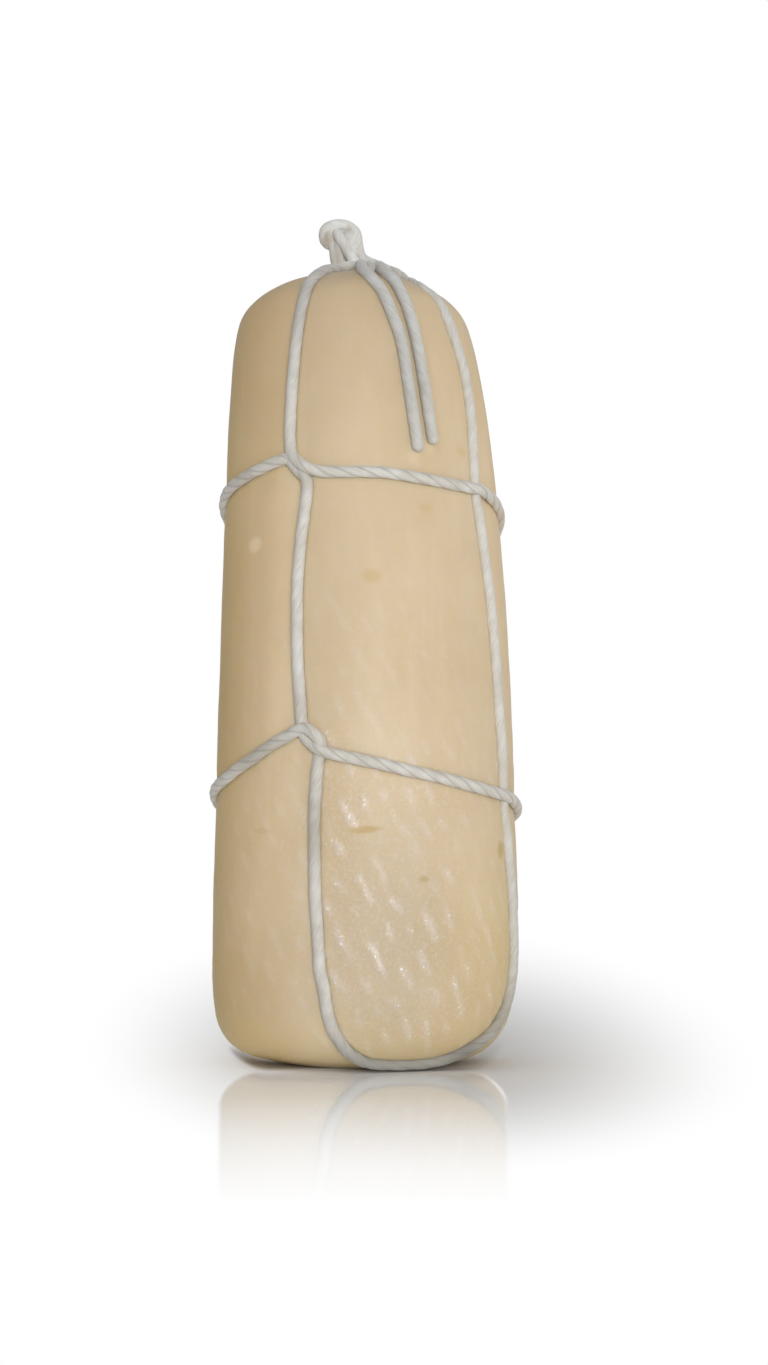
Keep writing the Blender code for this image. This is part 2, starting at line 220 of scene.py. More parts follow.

# Layers of colour: from where to where a noise, a height or a crease brings the layer in, its full
# strength and its colour as seen. The crown is darker and browner towards its top, and the string
# darker in its creases and under the foot, all as painted shade.
CLOUD_LAYER = (0.35, 0.68, 1.0, (213, 191, 156))
STREAK_LAYER = (0.45, 0.75, 0.35, (226, 209, 183))
SPECK_LAYER = (0.6, 0.8, 0.15, (206, 178, 134))
CROWN_SHADE_LAYER = (0.19, 0.265, 0.4, (180, 157, 124))
COTTON_LAYER = (0.35, 0.7, 1.0, (224, 221, 213))
BRIGHT_LAYER = (0.45, 0.75, 0.6, (231, 230, 226))
STAIN_LAYER = (0.52, 0.72, 0.4, (178, 168, 154))
CREASE_SHADE_LAYER = (0.25, 1.0, 0.45, (146, 138, 125))
LOW_STRING_SHADE_LAYER = (0.013, 0.004, 0.85, (168, 166, 158))

# The skin is palest at the front right and yellower on the far side of it, a painted colour of
# shade, and the front left of its foot is paler, painted light. A range is a low and a high value,
# and what they become if not 0 and 1.
PALE_AZIMUTH = math.radians(50)
FAR_SIDE = (0.32, -0.5)
FAR_SIDE_SHADE_TINT = (1.10, 0.99, 0.74)
HEEL_LIGHT_AZIMUTH = math.radians(-50)
HEEL_LIGHT_SIDE = (0.1, 0.8, 0.0, 0.45)
HEEL_LIGHT_HEIGHT = (0.035, 0.0)

# The pearls are painted sheen: fine ones among the beads, and those on a bead, which shine through
# the coat and may hold sparks, painted white glints.
FINE_SHEEN = (0.5, 0.72, 0.0, 0.4)
BEAD_SHEEN = (0.32, 0.62, 0.45, 1.0)
SHEEN_STRENGTH = 0.68
PEARL_COAT = 0.3
SPARK_LEVEL = (0.66, 0.72)
SPARK_BEAD = (0.3, 0.6)

# The surfaces' settings. The streaks vary the skin's roughness, and its grains are deepest among
# the beads. A bump is a strength and a height.
SKIN_SURFACE = {"Subsurface Weight": 0.6, "Subsurface Radius": (1.0, 0.62, 0.3),
                "Subsurface Scale": 0.004, "Specular IOR Level": 0.4, "Coat Roughness": 0.15}
SKIN_ROUGHNESS = (0.3, 0.7, 0.40, 0.5)
GRAIN_DEPTH = (0.0, 1.0, 0.25, 0.9)
SKIN_BUMP = (0.6, 0.0004)
STRING_SURFACE = {"Roughness": 0.85, "Specular IOR Level": 0.2, "Sheen Weight": 0.35,
                  "Sheen Roughness": 0.5}
STRING_BUMP = (0.5, 0.0003)
FLOOR_SURFACE = {"Roughness": 0.6, "Specular IOR Level": 0.0}

# Large soft patches of the skin, partly its own tone and partly painted light and shade: azimuth
# in degrees, height, half length and half breadth in mm, and the shares of the skin's colour. A
# patch fades over shares of its reach.
PATCH_FADE = (1.6, 0.3)
PATCH_THICKNESS = 30
SKIN_TONE_AND_SHADE_PATCHES = [
    (9, 38, 17, 30, (0.87, 0.88, 0.88)),
    (-33, 72, 15, 26, (1.07, 1.09, 1.13)),
    (-31, 140, 6, 55, (1.09, 1.09, 1.11)),
    (78, 226, 22, 40, (1.20, 1.18, 1.11)),
    (84, 140, 20, 62, (1.14, 1.08, 0.97)),
    (-84, 118, 18, 110, (0.90, 0.88, 0.67)),
    (68, 36, 24, 36, (0.99, 0.96, 0.78)),
    (-66, 14, 22, 16, (0.88, 0.87, 0.75)),
    (176, 92, 24, 44, (0.91, 0.91, 0.9)),
    (140, 210, 20, 26, (1.05, 1.05, 1.06)),
    (4, 2, 60, 11, (1.08, 1.07, 0.93)),
]

# Where painted shade and painted light make the string darker, browner or brighter: a place as on
# its route, reach in mm, shares.
STRING_LIGHT_AND_SHADE_PATCHES = [
    ((-28, 243), 16, (0.79, 0.78, 0.77)),
    ((-24, 181), 5, (0.78, 0.75, 0.70)),
    ((-54, 187.5), 9, (0.85, 0.84, 0.83)),
    ((82, 181), 12, (0.90, 0.80, 0.71)),
    ((-42, 96), 12, (0.76, 0.74, 0.71)),
    ((-17, 73), 13, (0.76, 0.74, 0.70)),
    ((-23, 110), 5, (0.88, 0.86, 0.85)),
    ((77, 82.5), 12, (0.92, 0.85, 0.78)),
    ((68, 50), 34, (0.91, 0.91, 0.90)),
    ((66, 15), 13, (0.64, 0.62, 0.58)),
    ((49, 6), 6, (0.66, 0.65, 0.66)),
    ((12, 247), 30, (0.82, 0.84, 0.88)),
    ((20, 208), 20, (0.86, 0.87, 0.88)),
    (Vector((-7.0, -5.0, 276.0)), 13, (1.12, 1.14, 1.17)),
    (Vector((-4.0, -10.5, 267.0)), 4.5, (1.2, 1.2, 1.22)),
    (Vector((-13.8, -4.6, 279.4)), 3.2, (0.80, 0.74, 0.68)),
    (Vector((-10.4, -6.0, 271.5)), 3.6, (0.84, 0.80, 0.75)),
    (Vector((-6.3, -6.5, 281.6)), 1.6, (0.72, 0.66, 0.6)),
    (Vector((-10.5, -5.4, 285.0)), 4.6, (1.10, 1.17, 1.24)),
    ((150, 120), 40, (0.93, 0.92, 0.90)),
    ((236, 60), 24, (0.88, 0.86, 0.83)),
]

# Marks in the skin: azimuth in degrees, height, half length and half breadth in mm, slant in
# degrees, colour as seen and strength.
MARK_FADE = (1.25, 0.55)
MARK_THICKNESS = 8
MARKS = [
    (0.6, 72.4, 4.9, 1.2, -4, (198, 168, 104), 0.72),
    (21.3, 57.7, 1.8, 1.1, 0, (188, 158, 102), 0.5),
    (60.0, 67.4, 2.4, 2.8, 0, (194, 164, 106), 0.75),
    (-39.4, 72.6, 3.6, 1.0, 3, (196, 166, 110), 0.25),
    (3.7, 150.5, 3.2, 2.3, 0, (204, 176, 116), 0.5),
    (26.1, 173.5, 2.6, 1.7, 0, (204, 176, 120), 0.35),
    (46.2, 194.8, 2.4, 1.6, 0, (204, 176, 120), 0.35),
    (-46.2, 163.8, 3.2, 2.6, 0, (238, 224, 198), 0.7),
    (112, 96.0, 4.2, 1.3, 6, (192, 160, 100), 0.6),
    (134, 142.0, 2.8, 2.0, 0, (204, 176, 120), 0.4),
    (178, 44.0, 2.2, 1.6, 0, (190, 160, 104), 0.6),
    (201, 124.0, 3.6, 1.1, -5, (194, 162, 104), 0.5),
    (222, 205.0, 2.8, 2.2, 0, (236, 222, 196), 0.6),
    (268, 52.0, 2.6, 1.7, 0, (196, 166, 110), 0.45),
]


# The string's route. A pair or a triple lies on the cheese: azimuth in degrees, height in mm and,
# in a triple, how many mm the string's centre stands off the skin. A Vector is a free point, in mm.

UPPER_LOOP = [
    Vector((-6.5, -1.5, 273.0)), Vector((-4.0, -6.6, 269.0)), Vector((-6.8, -11.2, 266.0)),
    (-13, 262.0, 1.3), (-16.5, 258.6, 0.7), (-18.2, 254.4, 0.4), (-20.8, 249.0),
    (-24, 237.5), (-26, 226.0), (-27.5, 212.0),
    (-28.3, 199.0), (-28, 193.4), (-27, 190.8, 0.9), (-24.7, 188.6, 1.7), (-21.5, 186.4, 1.9),
    (-18, 184.9, 1.3), (-14, 184.2, 0.6), (-5, 183.9), (9, 183.8), (24, 183.0), (38, 182.7),
    (47, 182.8, 0.8), (54, 183.0, 1.7), (62, 182.9, 0.9), (75, 182.0), (90, 179.5),
    (110, 176.0), (132, 173.0), (146, 172.2, 0.7), (154, 172.0, 1.7), (162, 172.0, 0.7),
    (181, 172.0),
]
MIDDLE_LOOP = [
    (179, 172.0), (205, 174.0), (226, 176.5, 0.7), (236, 178.0, 1.7), (245, 179.3, 0.7),
    (262, 182.0), (275, 184.3), (286, 185.9), (301, 186.9), (310, 187.8), (318, 188.6),
    (324, 189.4), (329, 189.9, 0.5), (331.8, 189.4, 0.2), (333.2, 187.6, 0.0),
    (335.5, 185.2, 0.0), (338.3, 183.0, 0.1), (339.2, 180.4), (339, 176.5), (338, 171.0),
    (336.5, 162.0), (335.2, 147.0), (335.4, 128.0), (336.2, 118.0), (337, 109.5),
    (337.4, 105.5), (338, 102.8, 0.2), (339.2, 100.4, 0.3), (341.7, 98.2, 0.6),
    (345, 96.4, 1.5), (349, 95.2, 0.8), (354, 94.3), (363, 92.7), (374, 90.6), (389, 88.4),
    (402, 86.5), (415, 85.1, 0.8), (423.5, 84.3, 1.7), (432, 83.4, 0.8), (450, 81.0),
    (470, 79.0), (492, 77.6), (512, 77.0, 0.7), (520.5, 77.0, 1.7), (529, 77.0, 0.7),
    (541, 77.0),
]
LOWER_LOOP = [
    (179, 77.0), (205, 78.0), (234, 80.2, 0.7), (243.5, 81.2, 1.7), (253, 82.4, 0.7),
    (266, 84.8), (280, 87.4), (298, 90.2), (307, 92.7), (315, 94.9), (321, 97.3),
    (326, 99.2), (331.5, 101.0, 0.5), (335.5, 102.3, 1.5), (338.7, 103.1, 2.5),
    (341.3, 102.5, 2.7), (343.9, 100.5, 2.2), (345, 98.1, 0.9), (344.5, 96.0, -0.6),
    (343.8, 93.6, -0.1), (343.5, 90.5), (343, 84.4), (342.5, 75.0), (342.7, 66.0),
    (343, 54.5), (344, 42.6), (345.2, 31.0), (346.8, 25.0), (348, 19.2), (350, 13.4),
    (352.2, 10.0), (355, 6.9), (359, 4.5), (365, 2.9), (374, 2.5), (384, 2.5), (394, 2.8),
    (403, 4.0), (410, 6.1), (415.5, 8.0), (419, 9.6), (422.5, 12.2), (425.5, 15.8),
    (428, 20.0), (430, 26.0, 0.2), (430.8, 34.0, 0.1), (430, 45.0, 0.0), (428, 57.0, 0.0),
    (425.4, 71.0, -0.2), (423.8, 84.2, -0.8), (423, 97.0, -0.1), (421.5, 112.0, -0.1),
    (420.5, 130.0, -0.1), (418.3, 150.0, -0.1), (416, 164.0, -0.1), (414.4, 176.0, -0.2),
    (414, 183.0, -0.8), (414.8, 197.0, -0.2), (416, 213.0, -0.1), (415, 226.0, -0.1),
    (411.6, 237.0, -0.2), (409.8, 244.0, -0.6), (408.6, 247.8, -0.9), (407.4, 250.3, -1.0),
    (405, 253.4, -0.9), (408, 256.8, -0.6), (415, 259.5, 0.4), Vector((11.3, -9.6, 263.6)),
    Vector((7.4, -6.0, 267.0)), Vector((-0.5, -3.0, 271.8)), Vector((-4.5, -1.5, 275.0)),
]
FAR_LOOP = [
    Vector((-7.5, 0.5, 272.0)), Vector((-6.0, 6.0, 268.5)), Vector((-3.5, 13.0, 266.0)),
    (161, 257.0), (159, 250.0), (156, 236.0), (154.5, 215.0), (154, 190.0),
    (154, 172.0, -0.8), (155.5, 150.0), (157.5, 125.0), (159.5, 100.0), (160.5, 77.0, -0.8),
    (162.5, 55.0), (164.5, 33.0), (167, 19.0), (171, 10.0), (176, 5.2), (183, 3.0),
    (193, 2.5), (205, 2.6), (216, 3.5), (225, 5.9), (233, 9.0), (240, 13.5), (246, 20.5),
    (249, 31.0), (248.5, 46.0), (246.5, 62.0), (243.5, 81.2, -0.8), (241, 105.0),
    (239.5, 130.0), (237.5, 155.0), (236, 178.0, -0.8), (236.5, 200.0), (236.5, 221.0),
    (234, 237.0), (231, 248.0), (229, 256.0), Vector((-19.5, 10.5, 265.0)),
    Vector((-14.0, 5.5, 267.6)), Vector((-9.5, 1.5, 271.5)),
]
KNOT_STRANDS = [
    [Vector((2.6, -12.5, 264.9)), Vector((1.7, -9.2, 266.6)), Vector((0.8, -7.7, 267.7)),
     Vector((-1.2, -6.8, 270.4)), Vector((-2.6, -5.8, 274.0)),
     Vector((-3.2, -5.0, 278.4)), Vector((-3.9, -4.5, 281.4)), Vector((-6.2, -3.8, 283.8)),
     Vector((-9.3, -3.9, 284.5)), Vector((-12.2, -4.0, 284.1)), Vector((-14.5, -3.5, 282.6)),
     Vector((-14.9, -2.4, 280.4)), Vector((-13.6, -1.6, 278.5)), Vector((-10.8, -1.0, 278.0)),
     Vector((-8.2, -0.6, 278.8))],
    [Vector((-1.9, -15.0, 264.4)), Vector((-2.1, -11.7, 265.9)), Vector((-3.1, -9.6, 267.2)),
     Vector((-4.8, -8.8, 270.0)), Vector((-7.0, -7.2, 274.2)),
     Vector((-8.9, -6.2, 278.0)), Vector((-10.2, -4.6, 280.8)), Vector((-11.0, -1.4, 282.4)),
     Vector((-9.4, 0.8, 281.6)), Vector((-7.4, 0.8, 279.0))],
    [Vector((-4.6, -7.4, 270.8)), Vector((-5.2, -6.6, 274.4)), Vector((-5.6, -5.8, 278.0)),
     Vector((-6.4, -4.8, 280.4)), Vector((-6.9, -2.6, 281.6)), Vector((-7.0, -0.8, 279.5))],
    [Vector((-9.8, -2.6, 268.2)), Vector((-10.8, -3.2, 272.0)), Vector((-11.3, -2.8, 276.0)),
     Vector((-12.0, -2.4, 279.6)), Vector((-11.2, -1.6, 281.8))],
    [Vector((-6.4, 1.6, 268.0)), Vector((-6.9, 2.2, 272.6)), Vector((-7.5, 1.8, 277.6)),
     Vector((-7.9, 0.2, 281.0))],
    [Vector((-9.5, -13.9, 264.6)), Vector((-6.6, -13.0, 265.2)), Vector((-4.2, -13.2, 265.2)),
     Vector((-2.4, -14.6, 264.9)), Vector((-1.4, -17.0, 264.3)), (9.5, 259.4, 1.9)],
    [Vector((0.4, -5.0, 270.0)), Vector((1.6, -7.4, 268.0)), Vector((2.6, -10.6, 266.4)),
     (31.0, 261.7, 2.0), (22.3, 258.4, 2.0)],
    [Vector((-1.2, -8.6, 267.6)), Vector((-0.2, -11.4, 265.8)), (24.0, 262.0, 2.1),
     (16.8, 259.0, 1.9), (12.9, 255.2, 1.1)],
]
LEFT_TAIL = [
    Vector((-2.0, -11.5, 265.9)), (14.5, 262.0, 2.2), (10.5, 260.0, 2.2), (7.8, 256.6, 2.2),
    (6.9, 252.9, 2.2), (10.2, 249.0, 2.2), (13.9, 244.4, 2.2), (17.2, 235.8, 2.2),
    (19.5, 228.0, 2.2), (20.6, 217.0, 2.2), (21.5, 206.0, 2.2), (22.3, 198.0, 2.2),
    (23.1, 191.0, 2.2),
]
RIGHT_TAIL = [
    Vector((1.7, -9.0, 266.6)), (33, 262.0, 2.2), (22.9, 258.8, 2.2), (17.9, 253.7, 2.2),
    (20.2, 250.0, 2.2), (22.3, 245.4, 2.2), (24.4, 239.7, 2.2), (26.3, 229.0, 2.2),
    (27.5, 217.0, 2.2), (28.4, 206.0, 2.2), (29.2, 199.0, 2.2), (29.8, 194.2, 2.2),
]


# The cheese's form

def cheese_outline(crown_steps, flank_steps, foot_steps):
    """Radii and heights down the cheese, from the middle of its crown to the middle of its sole."""
    slope = Vector((math.sin(SHOULDER_SLOPE), -math.cos(SHOULDER_SLOPE)))
    crown = Vector((0.0, CROWN_HEIGHT))
    shoulder = Vector((SHOULDER_RADIUS, SHOULDER_HEIGHT))
    belly = Vector((BELLY_RADIUS, BELLY_HEIGHT))
    sole = Vector((SOLE_RADIUS, 0.0))
    stretches = [
        (crown, crown + Vector((CROWN_HANDLE, 0.0)), shoulder - slope * SHOULDER_HANDLE_UP,
         shoulder, crown_steps),
        (shoulder, shoulder + slope * SHOULDER_HANDLE_DOWN,
         belly + Vector((0.0, BELLY_HANDLE_UP)), belly, flank_steps),
        (belly, belly - Vector((0.0, BELLY_HANDLE_DOWN)), sole + Vector((SOLE_HANDLE, 0.0)),
         sole, foot_steps),
    ]
    outline = [crown]
    for start, start_handle, end_handle, end, steps in stretches:
        outline += interpolate_bezier(start, start_handle, end_handle, end, steps + 1)[1:]
    return outline + [Vector((SOLE_RADIUS / 2, 0.0)), Vector((0.0, 0.0))]


FINE_OUTLINE = cheese_outline(OUTLINE_STEPS, OUTLINE_STEPS, OUTLINE_STEPS)


def ramp(value, start, end):
    """Rise smoothly from 0 at start to 1 at end."""
    share = min(max((value - start) / (end - start), 0.0), 1.0)
    return share * share * (3 - 2 * share)


def sideways(height):
    """How far the cheese's middle lies along X at a height."""
    low = max(1 - height / FOOT_HEIGHT, 0.0)
    return -LEAN * max(height / CROWN_HEIGHT, 0.0) ** LEAN_POWER - FOOT_SHIFT * low ** 2


def settle(point):
    """Move a point of the straight cheese to where it lies on the leaning one."""
    azimuth = math.atan2(point.x, -point.y)
    towards_heel = max(math.cos(azimuth - HEEL_AZIMUTH), 0.0) ** 2
    outwards = ramp(math.hypot(point.x, point.y), HEEL_START, HEEL_FULL)
    low = ramp(point.z, FOOT_HEIGHT, 0.0)
    lift = HEEL_LIFT * towards_heel * outwards * low
    return Vector((point.x + sideways(point.z), point.y, point.z + lift))


def at_azimuth(azimuth, radius, height):
    """A point of the straight cheese."""
    return Vector((radius * math.sin(azimuth), -radius * math.cos(azimuth), height))


def skin_point(azimuth, height):
    """The straight cheese's skin at an azimuth and a height, above the sole."""
    for upper, lower in zip(FINE_OUTLINE, FINE_OUTLINE[1:]):
        if upper.y >= height > lower.y:
            share = (upper.y - height) / (upper.y - lower.y)
            return at_azimuth(azimuth, upper.x + (lower.x - upper.x) * share, height)
    raise ValueError("no skin at this height")


def pull_to_skin(point, lift):
    """Move a point of the straight cheese to its nearest skin, and stand it off by a lift."""
    azimuth = math.atan2(point.x, -point.y)
    flat = Vector((math.hypot(point.x, point.y), point.z))
    nearest = None
    for upper, lower in zip(FINE_OUTLINE, FINE_OUTLINE[1:]):
        along = lower - upper
        share = min(max((flat - upper).dot(along) / along.length_squared, 0.0), 1.0)
        foot = upper + along * share
        distance = (flat - foot).length
        if nearest is None or distance < nearest[0]:
            nearest = (distance, foot, Vector((-along.y, along.x)).normalized())
    spot = nearest[1] + nearest[2] * lift
    return at_azimuth(azimuth, spot.x, spot.y)


# The string's route

def blend(values, share):
    """A smooth curve through the two middle ones of four values."""
    before, start, end, after = values
    pull_out = (end - before) / 2
    pull_in = (after - start) / 2
    square = share * share
    cube = square * share
    return (start * (2 * cube - 3 * square + 1) + pull_out * (cube - 2 * square + share)
            + end * (3 * square - 2 * cube) + pull_in * (cube - square))


def straighten(point):
    """The reverse of the sideways move, for a free point."""
    return Vector((point.x - sideways(point.z), point.y, point.z))


def trace(waypoints, pitch):
    """Points along a smooth curve through waypoints, a pitch apart, on the leaning cheese."""
    spots = []
    for waypoint in waypoints:
        if isinstance(waypoint, Vector):
            spots.append((straighten(waypoint * MM), None))
        else:
            lift = waypoint[2] * MM if len(waypoint) == 3 else LIFT
            skin = skin_point(math.radians(waypoint[0]), waypoint[1] * MM)
            spots.append((pull_to_skin(skin, lift), lift))
    dense = []
    for number in range(len(spots) - 1):
        around = [spots[min(max(number + step, 0), len(spots) - 1)] for step in (-1, 0, 1, 2)]
        places = [spot[0] for spot in around]
        parts = max(int((places[2] - places[1]).length / ROUTE_STEP), 2)
        for part in range(parts):
            share = part / parts
            place = blend(places, share)
            if around[1][1] is not None and around[2][1] is not None:
                place = pull_to_skin(place, around[1][1] + (around[2][1] - around[1][1]) * share)
            dense.append(settle(place))
    dense.append(settle(spots[-1][0]))
    return space_out(np.array(dense), pitch)


def space_out(points, pitch):
    """Points evenly along a line, about a pitch apart, with both of its ends."""
    lengths = np.concatenate([[0.0], np.cumsum(np.linalg.norm(np.diff(points, axis=0), axis=1))])
    parts = max(round(lengths[-1] / pitch), 1)
    targets = np.linspace(0.0, lengths[-1], parts + 1)
    return np.stack([np.interp(targets, lengths, points[:, axis]) for axis in range(3)], axis=1)


# Mesh making

def make_piece(name, points, faces, material, body="root"):
    """A smooth mesh piece that rides on a body."""
    mesh = bpy.data.meshes.new(name)
    mesh.from_pydata(points, [], faces)
    mesh.shade_smooth()
    mesh.materials.append(material)
    piece = bpy.data.objects.new(name, mesh)
    bpy.context.scene.collection.objects.link(piece)
    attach(piece, body)
    return piece


def add_values(piece, name, values):
    """Keep one number or one vector a vertex for the material."""
    kind = "FLOAT" if values.ndim == 1 else "FLOAT_VECTOR"
    attribute = piece.data.attributes.new(name, kind, "POINT")
    attribute.data.foreach_set("value" if values.ndim == 1 else "vector",
                               values.astype(np.float32).ravel())


def tube_faces(rings, sides):
    """Quads of a tube that is closed by a point at each end. The two end points come last."""
    faces = []
    for ring in range(rings - 1):
        for side in range(sides):
            after = (side + 1) % sides
            faces.append((ring * sides + side, ring * sides + after,
                          (ring + 1) * sides + after, (ring + 1) * sides + side))
    first, last = rings * sides, rings * sides + 1
    for side in range(sides):
        after = (side + 1) % sides
        faces.append((first, after, side))
        faces.append((last, (rings - 1) * sides + side, (rings - 1) * sides + after))
    return faces


def frames_along(points):
    """Two directions across a line at each of its points, carried along without twist."""
    tangents = np.gradient(points, axis=0)
    tangents /= np.linalg.norm(tangents, axis=1)[:, None]
    no_route_starts_this_way = (0.31, 0.47, 0.83)
    start = np.cross(tangents[0], no_route_starts_this_way)
    across = [start / np.linalg.norm(start)]
    for tangent in tangents[1:]:
        carried = across[-1] - tangent * across[-1].dot(tangent)
        across.append(carried / np.linalg.norm(carried))
    across = np.array(across)
    return across, np.cross(tangents, across)


def make_rope(name, points, material, lay=LAY_LENGTH, seed=0, twist=1.0):
    """A string of twisted plies along points, with rounded ends. Twist is how deep plies show."""
    across, up = frames_along(points)
    rings, sides = len(points), PLIES * PLY_SIDES
    steps = np.diff(points, axis=0)
    lengths = np.concatenate([[0.0], np.cumsum(np.linalg.norm(steps, axis=1))])
    tangents = np.cross(across, up)
    depth = twist * (GIRTH_DEPTH + (DROP_DEPTH - GIRTH_DEPTH) * tangents[:, 2] ** 2)
    round_ply = np.abs(np.sin(math.pi * np.arange(PLY_SIDES) / PLY_SIDES)) ** CREASE_POWER
    creases = depth[:, None] * np.tile(1 - round_ply, PLIES)[None, :]
    own = 2 * math.pi * np.arange(sides) / sides
    angles = own[None, :] + (2 * math.pi * lengths / lay)[:, None]
    to_end = np.minimum(lengths, lengths[-1] - lengths)
    rounding = np.sqrt(np.clip(1 - (1 - to_end / END_ROUNDING).clip(0, 1) ** 2, END_LEAST, 1))
    slub = np.repeat(uneven_places(lengths / SLUB_LENGTH, PLIES, seed, SLUB_STEPS), PLY_SIDES,
                     axis=1)
    grit = uneven_places(lengths / GRIT_LENGTH, sides, seed, GRIT_STEPS)
    uneven = 1 + SLUB_SHARE * slub + GRIT_SHARE * grit
    radii = STRING_RADIUS * (1 - creases) * rounding[:, None] * uneven
    spots = (points[:, None, :] + (radii * np.cos(angles))[:, :, None] * across[:, None, :]
             + (radii * np.sin(angles))[:, :, None] * up[:, None, :]).reshape(-1, 3)
    spots = np.concatenate([spots, points[:1], points[-1:]])
    piece = make_piece(name, spots.tolist(), tube_faces(rings, sides), material)
    strand = np.stack([np.repeat(lengths, sides), np.tile(STRING_RADIUS * np.cos(own), rings),
                       np.tile(STRING_RADIUS * np.sin(own), rings)], axis=1)
    ends = np.array([[0.0, 0.0, 0.0], [lengths[-1], 0.0, 0.0]])
    add_values(piece, "strand", np.concatenate([strand, ends]))
    add_values(piece, "groove", np.concatenate([(creases / GIRTH_DEPTH).ravel(),
                                                [PLAIN_GROOVE, PLAIN_GROOVE]]))
    add_values(piece, "wear", painted_string_shading(spots))
    return piece


def uneven_places(lengths, count, seed, steps):
    """Noise along a string, for each of its plies or sides."""
    return np.array([[noise.noise(Vector((length, number * steps[0], seed * steps[1])))
                      for number in range(count)] for length in lengths])


def painted_string_shading(spots):
    """The shares by which painted light and shade change the string's colour at each of its points.
    """
    wear = np.ones((len(spots), 3))
    for place, reach, shares in STRING_LIGHT_AND_SHADE_PATCHES:
        if isinstance(place, Vector):
            middle = place * MM
        else:
            middle = settle(skin_point(math.radians(place[0]), place[1] * MM))
        distances = np.linalg.norm(np.asarray(spots) - np.array(middle), axis=1)
        near = np.exp(-(distances / (reach * MM)) ** 2)[:, None]
        wear *= 1 + (np.array(shares) - 1) * near
    return wear


# Materials

def linear(colour):
    """Turn a colour as seen, 0 to 255, into linear light."""
    shares = [value / 255 for value in colour]
    return [share / 12.92 if share <= 0.04045 else ((share + 0.055) / 1.055) ** 2.4
            for share in shares]


class Nodes:
    """A short way to write the nodes of a material or a world."""

    def __init__(self, owner):
        owner.use_nodes = True
        self.tree = owner.node_tree
        self.shader = self.tree.nodes.get("Principled BSDF")

    def add(self, kind, inputs=None, **settings):
        """A node with its settings and inputs. An input may be another node's output."""
        node = self.tree.nodes.new("ShaderNode" + kind)
        for name, value in settings.items():
            setattr(node, name, value)
        for name, value in (inputs or {}).items():
            self.put(node.inputs[name], value)
        return node

    def put(self, socket, value):
        """Link an output to a socket, or set the socket's own value."""
        if isinstance(value, bpy.types.NodeSocket):
            self.tree.links.new(value, socket)
        else:
            socket.default_value = value

    def settings(self, values):
        """Set the surface's inputs."""
        for name, value in values.items():
            self.put(self.shader.inputs[name], value)

    def noise(self, vector, scale, detail, roughness):
        """Soft noise, from about 0 to 1. A scale for each axis stretches it."""
        if isinstance(scale, tuple):
            vector = self.add("Mapping", {"Vector": vector, "Scale": scale}).outputs["Vector"]
            scale = 1.0
        node = self.add("TexNoise", {"Vector": vector, "Scale": scale, "Detail": detail,
                                     "Roughness": roughness})
        return node.outputs["Fac"]

    def local(self, place, middle, turn, size):
        """How far a place lies from a middle, where the half size of a turned box, in mm, is 1."""
        node = self.add("Mapping", {"Vector": place, "Location": middle, "Rotation": turn,
                                    "Scale": [side * MM for side in size]},
                        vector_type="TEXTURE")
        return self.add("VectorMath", {0: node.outputs["Vector"]},
                        operation="LENGTH").outputs["Value"]

    def span(self, value, low, high, to_low=0.0, to_high=1.0, kind="LINEAR"):
        """A value's range moved to another range, with the rest cut off."""
        node = self.add("MapRange", {"Value": value, "From Min": low, "From Max": high,
                                     "To Min": to_low, "To Max": to_high},
                        interpolation_type=kind)
        return node.outputs["Result"]

    def math(self, operation, first, second=0.0):
        """One sum."""
        node = self.add("Math", {0: first, 1: second}, operation=operation)
        return node.outputs["Value"]

    def length(self, first, second):
        """How long a flat line is, from its extents."""
        return self.math("SQRT", self.math("ADD", self.math("MULTIPLY", first, first),
                                           self.math("MULTIPLY", second, second)))

    def mix(self, factor, first, second):
        """A mix of two colours."""
        node = self.add("Mix", {0: factor, 6: first, 7: second}, data_type="RGBA")
        return node.outputs[2]

    def layer(self, base, value, low, high, strength, seen):
        """A base with a layer of colour that a value brings in."""
        return self.mix(self.span(value, low, high, 0.0, strength), base, colour(seen))

    def tint(self, factor, base, shares):
        """A colour whose channels are multiplied by shares."""
        if isinstance(shares, tuple):
            shares = (*shares, 1.0)
        node = self.add("Mix", {0: factor, 6: base, 7: shares}, data_type="RGBA",
                        blend_type="MULTIPLY")
        return node.outputs[2]

    def facing(self, place, azimuth):
        """How far a place on the cheese lies towards an azimuth, from -1 to 1."""
        flat = self.add("VectorMath", {0: place, 1: (1.0, 1.0, 0.0)}, operation="MULTIPLY")
        outwards = self.add("VectorMath", {0: flat.outputs["Vector"]}, operation="NORMALIZE")
        towards = (math.sin(azimuth), -math.cos(azimuth), 0.0)
        return self.add("VectorMath", {0: outwards.outputs["Vector"], 1: towards},
                        operation="DOT_PRODUCT").outputs["Value"]

    def bump(self, height, strength, distance):
        """Small relief from a height."""
        return self.add("Bump", {"Height": height, "Strength": strength,
                                 "Distance": distance}).outputs["Normal"]


def colour(seen):
    """A colour as seen for a colour socket."""
    return (*linear(seen), 1.0)


